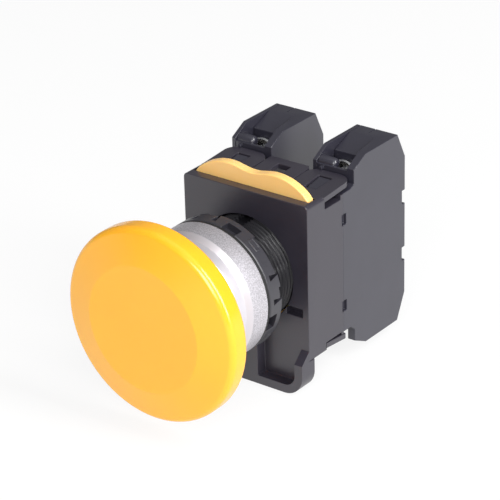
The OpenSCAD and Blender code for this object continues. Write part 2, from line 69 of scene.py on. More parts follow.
camera_data = bpy.data.cameras.new("camera")
camera_data.sensor_width = SENSOR_MM
camera_data.lens = FOCAL_PX / IMAGE_PX * SENSOR_MM
camera_data.clip_start = CLIP_START
camera = bpy.data.objects.new("camera", camera_data)
camera_turn = Matrix(np.stack([view_right, view_up, -view_forward], 1).tolist())
camera.matrix_world = Matrix.Translation(CAMERA_PLACE.tolist()) @ camera_turn.to_4x4()
bpy.context.scene.collection.objects.link(camera)
bpy.context.scene.camera = camera
bpy.context.scene.view_settings.view_transform = "Standard"


# Studio
# A wide white table in grey surroundings. The main softbox stands at the front right, a tall
# strip at the right lights the sides, and a weak softbox hangs above. Part of the table's white
# is a glow, stronger where the camera or a reflection sees it, and the rest takes the shadow.
MM = 0.001
FLOOR_Z = -23.75 * MM
TABLE_HALF = 3.0
TABLE_WHITE = (0.9, 0.9, 0.9, 1)
GLOW_SHARE = 0.45
GLOW_MORE_WHERE_SEEN = 0.4
SURROUNDINGS = 0.24
WHITE = (1, 1, 1, 1)


def srgb(hex_colour):
    """Linear red, green, blue and alpha of an sRGB hex value, by the sRGB transfer curve."""
    parts = [int(hex_colour[i:i + 2], 16) / 255 for i in (1, 3, 5)]
    return [c / 12.92 if c <= 0.04045 else ((c + 0.055) / 1.055) ** 2.4 for c in parts] + [1.0]


def add(tree, kind, settings=None, links=None):
    """Adds a node with its settings and links.

    A setting whose key starts with a dot is a property of the node, and any other is an input's
    value. A link joins an input to another node's output.
    """
    made = tree.nodes.new(kind)
    for key, value in (settings or {}).items():
        if isinstance(key, str) and key.startswith("."):
            setattr(made, key[1:], value)
        else:
            made.inputs[key].default_value = value
    for key, source in (links or {}).items():
        tree.links.new(made.inputs[key], source)
    return made


def empty_material(name):
    """A material with an empty node tree."""
    material = bpy.data.materials.new(name)
    material.use_nodes = True
    material.node_tree.nodes.clear()
    return material


def softbox(name, place, aim, width, height, watts):
    """An area lamp of that width and height in metres at place, turned towards aim."""
    lamp = bpy.data.lights.new(name, "AREA")
    lamp.shape = "RECTANGLE"
    lamp.size = width
    lamp.size_y = height
    lamp.energy = watts
    toward = np.array(aim, float) - np.array(place, float)
    toward /= np.linalg.norm(toward)
    side = np.cross(toward, [0.0, 0.0, 1.0] if abs(toward[2]) < 0.95 else [0.0, 1.0, 0.0])
    side /= np.linalg.norm(side)
    turn = Matrix(np.stack([side, np.cross(side, toward), -toward], 1).tolist())
    lamp_object = bpy.data.objects.new(name, lamp)
    lamp_object.matrix_world = Matrix.Translation(place) @ turn.to_4x4()
    bpy.context.scene.collection.objects.link(lamp_object)


softbox("softbox_top", (0.0, 0.0, 0.80), (0, 0, 0), 0.7, 0.7, 0.7)
softbox("softbox_key", (0.42, -0.65, 0.48), (0, 0, 0), 0.45, 0.45, 5.9)
softbox("strip_right", (0.60, 0.04, 0.40), (0, 0, 0.05), 0.2, 0.7, 6.4)

world = bpy.data.worlds.new("studio")
world.use_nodes = True
world.node_tree.nodes.clear()
sky = add(world.node_tree, "ShaderNodeBackground", {"Color": WHITE, "Strength": SURROUNDINGS})
add(world.node_tree, "ShaderNodeOutputWorld", {}, {"Surface": sky.outputs[0]})
bpy.context.scene.world = world

table_material = empty_material("white_table")
tree = table_material.node_tree
paper = add(tree, "ShaderNodeBsdfDiffuse", {"Color": TABLE_WHITE})
glow = add(tree, "ShaderNodeEmission", {"Color": WHITE, "Strength": 1.0})
ray = add(tree, "ShaderNodeLightPath")
mirrored = add(
    tree, "ShaderNodeMath", {".operation": "MAXIMUM"},
    {0: ray.outputs["Is Glossy Ray"], 1: ray.outputs["Is Transmission Ray"]},
)
seen = add(
    tree, "ShaderNodeMath", {".operation": "MAXIMUM"},
    {0: ray.outputs["Is Camera Ray"], 1: mirrored.outputs[0]},
)
share = add(
    tree, "ShaderNodeMath", {".operation": "MULTIPLY_ADD", 1: GLOW_MORE_WHERE_SEEN, 2: GLOW_SHARE},
    {0: seen.outputs[0]},
)
mixed = add(
    tree, "ShaderNodeMixShader", {}, {0: share.outputs[0], 1: paper.outputs[0], 2: glow.outputs[0]},
)
add(tree, "ShaderNodeOutputMaterial", {}, {"Surface": mixed.outputs[0]})
table_mesh = bpy.data.meshes.new("table")
table_corners = [(-1, -1), (1, -1), (1, 1), (-1, 1)]
table_mesh.from_pydata(
    [(TABLE_HALF * x, TABLE_HALF * y, FLOOR_Z) for x, y in table_corners], [], [(0, 1, 2, 3)],
)
table_mesh.materials.append(table_material)
table = bpy.data.objects.new("table", table_mesh)
bpy.context.scene.collection.objects.link(table)


# Mushroom cap
# One injection-moulded ABS shell in signal yellow, polished by its tool, with a boss that screws
# on the stem and ribs under the shell. It rides on the button.
CAP_R = 20.0
CAP_FRONT = -21.6
CAP_REAR = -15.0
CAP_DISC_R = 13.0
CAP_SLOPE = 16.3
DISC_BLEND_R = 2.0
FRONT_EDGE_R = 1.6
REAR_EDGE_R = 1.1
SHELL_WALL = 2.7
RIM_WALL = 2.4
RIM_INNER_R = 0.3
SHELL_INNER_R = 1.8
BOSS_R = 8.3
BOSS_ROOT_R = 0.5
BOSS_EDGE_R = 0.25
BOSS_MIDDLE = -14.0
BOSS_REAR = -11.6
SOCKET_FRONT = -18.6
SOCKET_PLAY = 0.05
NOSE_R = 5.45
RIBS = 6
RIB_HALF = 0.6
RIB_HEIGHT = 2.4
RIB_END_R = CAP_R - 3.2
RIB_BEVEL = (1.4, 0.6)
RIB_EDGE_R = 0.15
SUNK = 0.3
SHARP = 35.0
WELD = 1e-7


def arc(cx, cy, radius, start, stop, steps):
    """Points on a circle about (cx, cy), from the angle start to the angle stop in degrees."""
    turn = np.radians(np.linspace(start, stop, steps + 1))
    return np.stack([cx + radius * np.cos(turn), cy + radius * np.sin(turn)], 1)


def hand_over(name, mesh, material, body, slot, replaced, sharp):
    """Makes a mesh a piece: smooth up to the angle sharp in degrees, riding on the body."""
    mesh.materials.clear()
    mesh.materials.append(material)
    if mesh.has_custom_normals:
        mesh.attributes.remove(mesh.attributes["custom_normal"])
    mesh.shade_smooth()
    mesh.set_sharp_from_angle(angle=math.radians(sharp))
    piece = bpy.data.objects.new(name, mesh)
    bpy.context.scene.collection.objects.link(piece)
    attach(piece, body)
    if replaced:
        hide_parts(*replaced)
    return piece


def new_piece(name, points, faces, material, body, slot, replaced=(), sharp=SHARP):
    """A piece from points in mm, with its seams merged and its faces turned outwards."""
    mesh = bpy.data.meshes.new(name)
    mesh.from_pydata((np.asarray(points, float) * MM).tolist(), [], [list(face) for face in faces])
    work = bmesh.new()
    work.from_mesh(mesh)
    bmesh.ops.remove_doubles(work, verts=work.verts, dist=WELD)
    bmesh.ops.recalc_face_normals(work, faces=work.faces)
    work.to_mesh(mesh)
    work.free()
    return hand_over(name, mesh, material, body, slot, replaced, sharp)


def grid_faces(rows, columns, rows_close=False, columns_close=False):
    """Quads of a grid of rows x columns points, wrapped round where a direction closes."""
    i = np.arange(rows if rows_close else rows - 1)
    j = np.arange(columns if columns_close else columns - 1)
    i, j = np.meshgrid(i, j, indexing="ij")
    a = i * columns + j
    b = i * columns + (j + 1) % columns
    c = ((i + 1) % rows) * columns + (j + 1) % columns
    d = ((i + 1) % rows) * columns + j
    return np.stack([a, b, c, d], -1).reshape(-1, 4)


def turned(name, profile, steps, material, body, slot, replaced):
    """Surface of revolution about the y axis: (r cos t, y, r sin t) over the profile's (r, y).

    The profile is a closed loop, or starts and ends on the axis.
    """
    turn = np.linspace(0, 2 * math.pi, steps, endpoint=False)[:, None]
    r, y = profile[:, 0][None], profile[:, 1][None]
    points = np.stack([r * np.cos(turn), y + 0 * turn, r * np.sin(turn)], -1).reshape(-1, 3)
    on_axis = abs(profile[0, 0]) < WELD
    faces = grid_faces(steps, len(profile), True, not on_axis)
    return new_piece(name, points, faces, material, body, slot, replaced)


def filleted(points, radii, steps=4, closed=True):
    """Polyline with each corner replaced by an arc that touches both sides at equal distances.

    An arc takes at most 0.48 of either side. A corner that turns less than 4 degrees stays.
    """
    points = np.asarray(points, float)
    radii = np.broadcast_to(radii, len(points))
    made = []
    for k, corner in enumerate(points):
        if not closed and k in (0, len(points) - 1):
            made.append(corner)
            continue
        a = points[k - 1] - corner
        b = points[(k + 1) % len(points)] - corner
        la, lb = np.linalg.norm(a), np.linalg.norm(b)
        a, b = a / la, b / lb
        half_angle = math.acos(float(np.clip(a @ b, -1, 1))) / 2
        if radii[k] <= 0 or half_angle > math.radians(88):
            made.append(corner)
            continue
        reach = min(radii[k] / math.tan(half_angle), 0.48 * la, 0.48 * lb)
        radius = reach * math.tan(half_angle)
        centre = corner + (a + b) / np.linalg.norm(a + b) * radius / math.sin(half_angle)
        start = corner + a * reach - centre
        stop = corner + b * reach - centre
        sweep = math.atan2(start[0] * stop[1] - start[1] * stop[0], float(start @ stop))
        for t in np.linspace(0, sweep, steps + 1):
            made.append(centre + [
                start[0] * math.cos(t) - start[1] * math.sin(t),
                start[0] * math.sin(t) + start[1] * math.cos(t),
            ])
    return np.array(made)


def extruded(name, outline, low, high, edge, material, body, slot, axis="y"):
    """Plate from a closed outline: the outline is raised between two planes and its rims are rounded.

    Each rim is an arc: at the angle t the outline is shrunk by edge (1 - sin t) along its own
    normals and lies edge (1 - cos t) from the plane. The two ends are filled by one face each.
    """
    outline = np.asarray(outline, float)
    ahead = np.roll(outline, -1, 0) - outline
    ahead /= np.linalg.norm(ahead, axis=1, keepdims=True)
    behind = np.roll(ahead, 1, 0)
    x, y = outline.T
    area = np.sum(x * np.roll(y, -1) - y * np.roll(x, -1))
    normals = np.stack([ahead[:, 1] + behind[:, 1], -ahead[:, 0] - behind[:, 0]], 1) * np.sign(area)
    normals /= np.linalg.norm(normals, axis=1, keepdims=True)
    turn = np.linspace(0, math.pi / 2, 4)
    inset = edge * (1 - np.sin(turn))
    depth = edge * (1 - np.cos(turn))
    insets = np.concatenate([inset, inset[::-1]])
    levels = np.concatenate([low + depth, high - depth[::-1]])
    rings = outline[None] - normals[None] * insets[:, None, None]
    flat = np.concatenate([rings, np.broadcast_to(levels[:, None, None], rings.shape[:2] + (1,))], 2)
    order = {"y": (0, 2, 1), "z": (0, 1, 2)}[axis]
    points = flat.reshape(-1, 3)[:, order]
    rows, columns = len(levels), len(outline)
    faces = grid_faces(rows, columns, False, True).tolist()
    faces += [list(range(columns)), list(range((rows - 1) * columns, rows * columns))]
    return new_piece(name, points, faces, material, body, slot)


# Polished ABS: a smooth, slightly translucent gloss with the faint orange peel of a moulding, in
# waves of some 2.5 mm. Its tone and gloss vary slowly over some 9 mm, as the melt flowed.
PEEL_MM = 2.5
FLOW_MM = 9
cap_material = empty_material("polished_yellow_abs")
tree = cap_material.node_tree
coords = add(tree, "ShaderNodeTexCoord")
peel = add(
    tree, "ShaderNodeTexNoise", {"Scale": 1 / (PEEL_MM * MM), "Detail": 2.0, "Roughness": 0.4},
    {"Vector": coords.outputs["Object"]},
)
bump = add(tree, "ShaderNodeBump", {"Strength": 0.05, "Distance": 0.02 * MM}, {"Height": peel.outputs[0]})
flow = add(
    tree, "ShaderNodeTexNoise", {"Scale": 1 / (FLOW_MM * MM), "Detail": 3.0},
    {"Vector": coords.outputs["Object"]},
)
tint = add(
    tree, "ShaderNodeMix", {".data_type": "RGBA", 6: srgb("#fab01e"), 7: srgb("#fcb524")},
    {0: flow.outputs[0]},
)
gloss = add(
    tree, "ShaderNodeMapRange", {"From Min": 0.3, "From Max": 0.7, "To Min": 0.19, "To Max": 0.24},
    {"Value": flow.outputs[0]},
)
abs_shader = add(
    tree, "ShaderNodeBsdfPrincipled",
    {"IOR": 1.62, "Subsurface Weight": 0.12, "Subsurface Radius": (1.0, 0.5, 0.1),
     "Subsurface Scale": 1.2 * MM},
    {"Base Color": tint.outputs[2], "Roughness": gloss.outputs[0], "Normal": bump.outputs[0]},
)
add(tree, "ShaderNodeOutputMaterial", {}, {"Surface": abs_shader.outputs[0]})

inner_front = CAP_FRONT + SHELL_WALL
slope = math.radians(CAP_SLOPE)
blend_x = CAP_DISC_R - DISC_BLEND_R * math.tan(slope / 2)
edge_x = CAP_R - FRONT_EDGE_R
edge_y = CAP_FRONT + (edge_x - CAP_DISC_R) * math.tan(slope) + FRONT_EDGE_R / math.cos(slope)
inner_x = CAP_R - RIM_WALL
socket_r = NOSE_R + SOCKET_PLAY
cap_profile = np.concatenate([
    np.stack([np.linspace(0, blend_x - 0.5, 6), np.full(6, CAP_FRONT)], 1),
    arc(blend_x, CAP_FRONT + DISC_BLEND_R, DISC_BLEND_R, -90, -90 + CAP_SLOPE, 8),
    arc(edge_x, edge_y, FRONT_EDGE_R, -90 + CAP_SLOPE, 0, 20),
    arc(CAP_R - REAR_EDGE_R, CAP_REAR - REAR_EDGE_R, REAR_EDGE_R, 0, 90, 10),
    arc(inner_x + RIM_INNER_R, CAP_REAR - RIM_INNER_R, RIM_INNER_R, 90, 180, 4),
    arc(inner_x - SHELL_INNER_R, inner_front + SHELL_INNER_R, SHELL_INNER_R, 0, -90, 10),
    arc(BOSS_R + BOSS_ROOT_R, inner_front + BOSS_ROOT_R, BOSS_ROOT_R, -90, -180, 5),
    filleted(
        [[BOSS_R, BOSS_MIDDLE], [BOSS_R, BOSS_REAR], [socket_r, BOSS_REAR], [socket_r, SOCKET_FRONT],
         [0, SOCKET_FRONT]],
        BOSS_EDGE_R, closed=False,
    ),
])
turned("mushroom_cap_shell", cap_profile, 256, cap_material, "button", "cap_yellow", ["mushroom_cap"])

rib_top = inner_front + RIB_HEIGHT
rib_outline = filleted(
    [[BOSS_R - SUNK, inner_front - SUNK], [RIB_END_R, inner_front - SUNK],
     [RIB_END_R, rib_top - RIB_BEVEL[1]], [RIB_END_R - RIB_BEVEL[0], rib_top],
     [BOSS_R - SUNK, rib_top]],
    [0, 0, 0.2, 0.4, 0],
)
for k in range(RIBS):
    rib = extruded(
        f"mushroom_cap_rib_{k + 1}", rib_outline, -RIB_HALF, RIB_HALF, RIB_EDGE_R, cap_material,
        "button", "cap_yellow", axis="z",
    )
    rib.data.transform(Matrix.Rotation(2 * math.pi * k / RIBS, 4, "Y"))


# Button stem
# The moulded shaft that carries the cap in front and the crossbar behind, in natural acetal.
# It rides on the button and shows only between the cap's boss and the bezel ring.
NOSE_FRONT = -18.3
STEM_R = 8.52
STEM_SHOULDER = 0.6
NECK_FRONT = -4.2
NECK_REAR = -2.2
NECK_DEPTH = 0.4
SHAFT_R = 4.4
SHAFT_END = 16.3
TIP_R = 2.5
TIP_END = 17.9
SCREW_HOLE_R = 1.1
SCREW_HOLE_END = 10.9
DRILL_POINT = 10.3
STEM_EDGE_R = 0.2

# Natural acetal: waxy and off-white, half matt. Its grain is drawn at 0.6 mm, coarser than the
# real one, so that it shows.
ACETAL_GRAIN_MM = 0.6
stem_material = empty_material("natural_acetal")
tree = stem_material.node_tree
coords = add(tree, "ShaderNodeTexCoord")
grain = add(
    tree, "ShaderNodeTexNoise", {"Scale": 1 / (ACETAL_GRAIN_MM * MM), "Detail": 3.0},
    {"Vector": coords.outputs["Object"]},
)
tint = add(
    tree, "ShaderNodeMix", {".data_type": "RGBA", 6: srgb("#dedbd2"), 7: srgb("#e8e6de")},
    {0: grain.outputs[0]},
)
bump = add(tree, "ShaderNodeBump", {"Strength": 0.15, "Distance": 0.02 * MM}, {"Height": grain.outputs[0]})
acetal = add(
    tree, "ShaderNodeBsdfPrincipled", {"Roughness": 0.38, "IOR": 1.48},
    {"Base Color": tint.outputs[2], "Normal": bump.outputs[0]},
)
add(tree, "ShaderNodeOutputMaterial", {}, {"Surface": acetal.outputs[0]})

neck_r = STEM_R - NECK_DEPTH
stem_profile = filleted(
    [[0, NOSE_FRONT], [NOSE_R, NOSE_FRONT], [NOSE_R, BOSS_REAR], [STEM_R, BOSS_REAR],
     [STEM_R, NECK_FRONT], [neck_r, NECK_FRONT + NECK_DEPTH], [neck_r, NECK_REAR - NECK_DEPTH],
     [STEM_R, NECK_REAR], [STEM_R, STEM_SHOULDER], [SHAFT_R, STEM_SHOULDER], [SHAFT_R, SHAFT_END],
     [TIP_R, SHAFT_END], [TIP_R, TIP_END], [SCREW_HOLE_R, TIP_END], [SCREW_HOLE_R, SCREW_HOLE_END],
     [0, DRILL_POINT]],
    STEM_EDGE_R, 3, closed=False,
)
turned("button_stem_turned", stem_profile, 160, stem_material, "button", "white_plastic", ["button_stem"])


# Return spring
# A helix of stainless spring wire with closed ends, between the stem's shoulder and the web of the
# operator body. It is drawn at one length; the real one shortens as the button goes in.
CLOSED_TURNS = 0.6
WIRE_SHARP = 60.0
RETURN_FRONT = 0.65
RETURN_LENGTH = 10.3


def metal(name, dark, light, roughness, grain_mm):
    """A bare metal whose colour and polish vary over its drawing, rolling or turning grain.

    The grain is drawn at a few tenths of a millimetre, coarser than the real one, so that it shows.
    """
    material = empty_material(name)
    nodes = material.node_tree
    place = add(nodes, "ShaderNodeTexCoord")
    grain = add(
        nodes, "ShaderNodeTexNoise", {"Scale": 1 / (grain_mm * MM), "Detail": 4.0},
        {"Vector": place.outputs["Object"]},
    )
    colour = add(
        nodes, "ShaderNodeMix", {".data_type": "RGBA", 6: srgb(dark), 7: srgb(light)},
        {0: grain.outputs[0]},
    )
    rough = add(
        nodes, "ShaderNodeMapRange",
        {"From Min": 0.3, "From Max": 0.7, "To Min": roughness - 0.05, "To Max": roughness + 0.08},
        {"Value": grain.outputs[0]},
    )
    uneven = add(
        nodes, "ShaderNodeBump", {"Strength": 0.1, "Distance": 0.01 * MM}, {"Height": grain.outputs[0]},
    )
    shader = add(
        nodes, "ShaderNodeBsdfPrincipled", {"Metallic": 1.0},
        {"Base Color": colour.outputs[2], "Roughness": rough.outputs[0], "Normal": uneven.outputs[0]},
    )
    add(nodes, "ShaderNodeOutputMaterial", {}, {"Surface": shader.outputs[0]})
    return material


def coil(name, foot, axis, mean_r, wire_r, length, turns, body, node):
    """Compression spring: a round wire carried along a helix from foot along axis.

    The wire's centre is (R cos t, R sin t, h). In the first and last 0.6 turn h grows by one wire
    diameter a turn, so that the coils lie close, and between them it grows evenly to the length.
    """
    steps, sides = 28, 10
    t = np.linspace(0, 2 * math.pi * turns, int(turns * steps) + 1)
    turn = t / (2 * math.pi)
    share = np.clip((turn - CLOSED_TURNS) / (turns - 2 * CLOSED_TURNS), 0, 1)
    close = np.clip(turn, 0, CLOSED_TURNS) + np.clip(turn - turns + CLOSED_TURNS, 0, CLOSED_TURNS)
    free = length - 2 * wire_r - 2 * CLOSED_TURNS * 2 * wire_r
    height = wire_r + 2 * wire_r * close + free * share
    centre = np.stack([mean_r * np.cos(t), mean_r * np.sin(t), height], 1)
    outward = np.stack([np.cos(t), np.sin(t), 0 * t], 1)
    around = np.linspace(0, 2 * math.pi, sides, endpoint=False)
    upward = np.array([0.0, 0.0, 1.0])
    rings = centre[:, None] + wire_r * (
        np.cos(around)[None, :, None] * outward[:, None] + np.sin(around)[None, :, None] * upward
    )
    points = rings.reshape(-1, 3)
    if axis == "y":
        points = points[:, [0, 2, 1]]
    faces = grid_faces(len(t), sides, False, True).tolist()
    faces += [list(range(sides)), list(range((len(t) - 1) * sides, len(t) * sides))]
    return new_piece(
        name, points + np.asarray(foot), faces, wire_material, body, "spring_steel", [node], WIRE_SHARP,
    )


# Drawn stainless wire: bright, with the fine streaks of the die
wire_material = metal("drawn_stainless_wire", "#9c9da0", "#c2c3c5", 0.22, 0.3)
spring = coil(
    "return_spring_wire", (0, RETURN_FRONT, 0), "y", mean_r=6.5, wire_r=0.45, length=RETURN_LENGTH,
    turns=5.5, body="operator", node="return_spring",
)
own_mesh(spring)


# Bezel ring
# A zinc ring, blasted matt and silver plated, with a turned bevel towards the cap. It clamps on
# the operator's flange.
BEZEL_R = 14.0
BEZEL_FRONT = -8.6
BEVEL_R = BEZEL_R - 1.2
BEVEL_FRONT = -6.1
BEVEL_REAR = -5.1
BEZEL_REAR = -0.75
BEZEL_INNER_R = 9.5
BEZEL_LIP = 0.5
BEZEL_SEAT = -3.5
BEZEL_SEAT_R = 11.1

# Silver plating over blasted zinc: a fine glitter of dimples, and a smooth bevel that mirrors
# softly. The dimples are drawn at 0.24 mm, about twice the real grit's, so that they show.
GRIT_MM = 0.24
bezel_material = empty_material("blasted_silver_plating")
tree = bezel_material.node_tree
coords = add(tree, "ShaderNodeTexCoord")
grit = add(
    tree, "ShaderNodeTexNoise", {"Scale": 1 / (GRIT_MM * MM), "Detail": 3.0, "Roughness": 0.65},
    {"Vector": coords.outputs["Object"]},
)
place = add(tree, "ShaderNodeSeparateXYZ", {}, {0: coords.outputs["Object"]})
blasted = add(
    tree, "ShaderNodeMapRange",
    {"From Min": (BEVEL_REAR - 0.05) * MM, "From Max": (BEVEL_REAR + 0.1) * MM, "To Min": 0.0, "To Max": 1.0},
    {"Value": place.outputs["Y"]},
)
depth = add(tree, "ShaderNodeMath", {".operation": "MULTIPLY", 1: 0.6}, {0: blasted.outputs[0]})
bump = add(
    tree, "ShaderNodeBump", {"Distance": 0.04 * MM},
    {"Height": grit.outputs[0], "Strength": depth.outputs[0]},
)
dimple = add(
    tree, "ShaderNodeMapRange", {"From Min": 0.38, "From Max": 0.62, "To Min": 0.0, "To Max": 1.0},
    {"Value": grit.outputs[0]},
)
matt_tone = add(
    tree, "ShaderNodeMix", {".data_type": "RGBA", 6: srgb("#aeabb1"), 7: srgb("#dad7dd")},
    {0: dimple.outputs[0]},
)
tone = add(
    tree, "ShaderNodeMix", {".data_type": "RGBA", 6: srgb("#dedbe1")},
    {0: blasted.outputs[0], 7: matt_tone.outputs[2]},
)
matt = add(tree, "ShaderNodeMapRange", {"To Min": 0.42, "To Max": 0.45}, {"Value": blasted.outputs[0]})
plating = add(
    tree, "ShaderNodeBsdfPrincipled", {"Metallic": 0.75},
    {"Base Color": tone.outputs[2], "Roughness": matt.outputs[0], "Normal": bump.outputs[0]},
)
add(tree, "ShaderNodeOutputMaterial", {}, {"Surface": plating.outputs[0]})

bezel_profile = filleted(
    [[BEZEL_INNER_R, BEZEL_FRONT], [BEVEL_R, BEZEL_FRONT], [BEVEL_R, BEVEL_FRONT],
     [BEZEL_R - 0.25, BEVEL_REAR], [BEZEL_R, BEZEL_REAR - 0.1], [BEZEL_R - 0.08, BEZEL_REAR],
     [BEZEL_R - 0.8, BEZEL_REAR], [BEZEL_R - 0.8, BEZEL_SEAT], [BEZEL_SEAT_R, BEZEL_SEAT],
     [BEZEL_SEAT_R, BEZEL_FRONT + BEZEL_LIP], [BEZEL_INNER_R, BEZEL_FRONT + BEZEL_LIP]],
    [0.2, 0.35, 0.15, 0.15, 0.04, 0.04, 0.1, 0.1, 0.1, 0.1, 0.15],
)
turned("bezel_ring_turned", bezel_profile, 256, bezel_material, "operator", "bezel_silver", ["bezel_ring"])


# Gasket and stem seal
# Two rings of black nitrile rubber: a flat one between bezel ring and panel, and a lip seal round
# the stem.
GASKET = {"inner_r": 11.05, "outer_r": 13.95, "front": -0.7, "rear": 0.0}
SEAL_FRONT = -7.9
SEAL_REAR = -6.3
SEAL_OUTER_R = 10.1

# Nitrile rubber: dull black with a faint bloom, in patches of some 0.25 mm
BLOOM_MM = 0.25
rubber_material = empty_material("black_nitrile_rubber")
tree = rubber_material.node_tree
coords = add(tree, "ShaderNodeTexCoord")
bloom = add(
    tree, "ShaderNodeTexNoise", {"Scale": 1 / (BLOOM_MM * MM), "Detail": 4.0},
    {"Vector": coords.outputs["Object"]},
)
bump = add(tree, "ShaderNodeBump", {"Strength": 0.3, "Distance": 0.02 * MM}, {"Height": bloom.outputs[0]})
tone = add(
    tree, "ShaderNodeMix", {".data_type": "RGBA", 6: srgb("#0e0e0f"), 7: srgb("#1a1a1b")},
    {0: bloom.outputs[0]},
)
nitrile = add(
    tree, "ShaderNodeBsdfPrincipled", {"Roughness": 0.65, "IOR": 1.5},
    {"Base Color": tone.outputs[2], "Normal": bump.outputs[0]},
)
add(tree, "ShaderNodeOutputMaterial", {}, {"Surface": nitrile.outputs[0]})

gasket_profile = filleted(
    [[GASKET["inner_r"], GASKET["front"]], [GASKET["outer_r"], GASKET["front"]],
     [GASKET["outer_r"], GASKET["rear"]], [GASKET["inner_r"], GASKET["rear"]]],
    [0.1, 0.2, 0.2, 0.1],
)
turned("panel_gasket_ring", gasket_profile, 200, rubber_material, "operator", "rubber", ["panel_gasket"])
seal_profile = filleted(
    [[STEM_R + 0.05, SEAL_FRONT + 0.2], [STEM_R + 0.45, SEAL_FRONT], [SEAL_OUTER_R, SEAL_FRONT],
     [SEAL_OUTER_R, SEAL_REAR], [STEM_R + 0.6, SEAL_REAR], [STEM_R + 0.4, -7.0]],
    0.08, 3,
)
turned("stem_seal_ring", seal_profile, 160, rubber_material, "operator", "rubber", ["stem_seal"])


# Operator body
# Black glass-filled polyamide: flange, shank with a 1 mm thread, a keyway along its top and the
# groove for the release latch. The thread and keyway are worked out as one radius over the turn
# and the length.
SHANK_R = 11.0
SHANK_FRONT = -8.0
SHANK_END = 16.2
FLANGE_R = 13.1
FLANGE_FRONT = -3.6
FLANGE_REAR = -0.7
THREAD_PITCH = 1.0
THREAD_DEPTH = 0.45
THREAD_START = -0.7
THREAD_END = 12.4
THREAD_RUN = 0.5
GROOVE_R = 9.7
GROOVE_FRONT = 12.85
GROOVE_REAR = 15.15
KEYWAY_HALF = 1.55
KEYWAY_FLOOR = 9.8
BORE_R = 8.6
BORE_MIDDLE_R = 7.4
BORE_STEP = 4.95
WEB_FRONT = 11.0
WEB_REAR = 12.6
WEB_BORE_R = 4.47
REAR_BORE_R = 8.0
SEAL_SEAT = -6.2
SEAL_SEAT_R = 10.2
FIBRE_MM = 0.3


def polyamide(name, dark, light, ior):
    """Polyamide: half matt, and the fibres and flow near its skin vary its tone, gloss and height."""
    material = empty_material(name)
    nodes = material.node_tree
    place = add(nodes, "ShaderNodeTexCoord")
    fibre = add(
        nodes, "ShaderNodeTexNoise", {"Scale": 1 / (FIBRE_MM * MM), "Detail": 5.0, "Roughness": 0.6},
        {"Vector": place.outputs["Object"]},
    )
    uneven = add(
        nodes, "ShaderNodeBump", {"Strength": 0.25, "Distance": 0.02 * MM}, {"Height": fibre.outputs[0]},
    )
    colour = add(
        nodes, "ShaderNodeMix", {".data_type": "RGBA", 6: srgb(dark), 7: srgb(light)},
        {0: fibre.outputs[0]},
    )
    rough = add(
        nodes, "ShaderNodeMapRange", {"From Min": 0.3, "From Max": 0.7, "To Min": 0.34, "To Max": 0.46},
        {"Value": fibre.outputs[0]},
    )
    shader = add(
        nodes, "ShaderNodeBsdfPrincipled", {"IOR": ior},
        {"Base Color": colour.outputs[2], "Roughness": rough.outputs[0], "Normal": uneven.outputs[0]},
    )
    add(nodes, "ShaderNodeOutputMaterial", {}, {"Surface": shader.outputs[0]})
    return material


# Glass-filled polyamide: nearly black and half matt, mottled at the length of a glass fibre, 0.3 mm.
# Its tone is darker than the nut's as painted shade in the thread's grooves.
body_material_with_painted_shade = polyamide("black_glass_filled_polyamide", "#131216", "#1b1a1f", 1.5)
front_rows = [
    [SEAL_SEAT_R, SHANK_FRONT], [SHANK_R - 0.3, SHANK_FRONT], [SHANK_R, SHANK_FRONT + 0.3],
    [SHANK_R, FLANGE_FRONT], [FLANGE_R - 0.1, FLANGE_FRONT], [FLANGE_R, FLANGE_FRONT + 0.1],
    [FLANGE_R, FLANGE_REAR - 0.1], [FLANGE_R - 0.1, FLANGE_REAR], [SHANK_R, FLANGE_REAR],
]
thread_y = np.arange(THREAD_START, THREAD_END, THREAD_PITCH / 10)
thread_rows = np.stack([np.full(len(thread_y), SHANK_R), thread_y], 1)
rear_rows = [
    [SHANK_R, GROOVE_FRONT - 0.1], [SHANK_R - 0.1, GROOVE_FRONT], [GROOVE_R, GROOVE_FRONT],
    [GROOVE_R, GROOVE_REAR], [SHANK_R - 0.1, GROOVE_REAR], [SHANK_R, GROOVE_REAR + 0.1],
    [SHANK_R, SHANK_END - 0.4], [SHANK_R - 0.4, SHANK_END],
]
bore_rows = [
    [REAR_BORE_R, SHANK_END], [REAR_BORE_R, WEB_REAR], [WEB_BORE_R, WEB_REAR], [WEB_BORE_R, WEB_FRONT],
    [BORE_MIDDLE_R, WEB_FRONT], [BORE_MIDDLE_R, BORE_STEP], [BORE_R, BORE_STEP], [BORE_R, SEAL_SEAT],
    [SEAL_SEAT_R, SEAL_SEAT],
]
body_rows = np.concatenate([front_rows, thread_rows, rear_rows, bore_rows])
# The thread takes its depth off the radius, times 1 - ridge. The ridge runs along the helix
# y / pitch - turn / 360 degrees: crest, root and each flank take a quarter of the pitch, and it
# runs in and out. The keyway's flat floor at the height h is the radius h / sin(turn).
keyway_edge = math.degrees(math.asin(KEYWAY_HALF / SHANK_R))
beside_edges = [90 + side * keyway_edge + step for side in (-1, 1) for step in (-0.05, 0.05)]
turns = np.radians(np.sort(np.concatenate([np.arange(0, 360, 1.5), beside_edges])))[:, None]
radius = np.broadcast_to(body_rows[:, 0][None], (len(turns), len(body_rows))).copy()
along = np.broadcast_to(body_rows[:, 1][None], radius.shape)
threaded = slice(len(front_rows), len(front_rows) + len(thread_rows))
phase = (along[:, threaded] / THREAD_PITCH - turns / (2 * math.pi)) % 1.0
ridge = np.clip(1.5 - np.abs(phase - 0.5) * 4, 0, 1)
run_in = np.clip((along[:, threaded] - THREAD_START) / THREAD_RUN, 0, 1)
run_out = np.clip((THREAD_END - THREAD_PITCH / 10 - along[:, threaded]) / THREAD_RUN, 0, 1)
radius[:, threaded] -= THREAD_DEPTH * (1 - ridge) * np.minimum(run_in, run_out)
outside = np.arange(len(body_rows)) < len(body_rows) - len(bore_rows)
in_keyway = np.abs(radius * np.cos(turns)) < KEYWAY_HALF
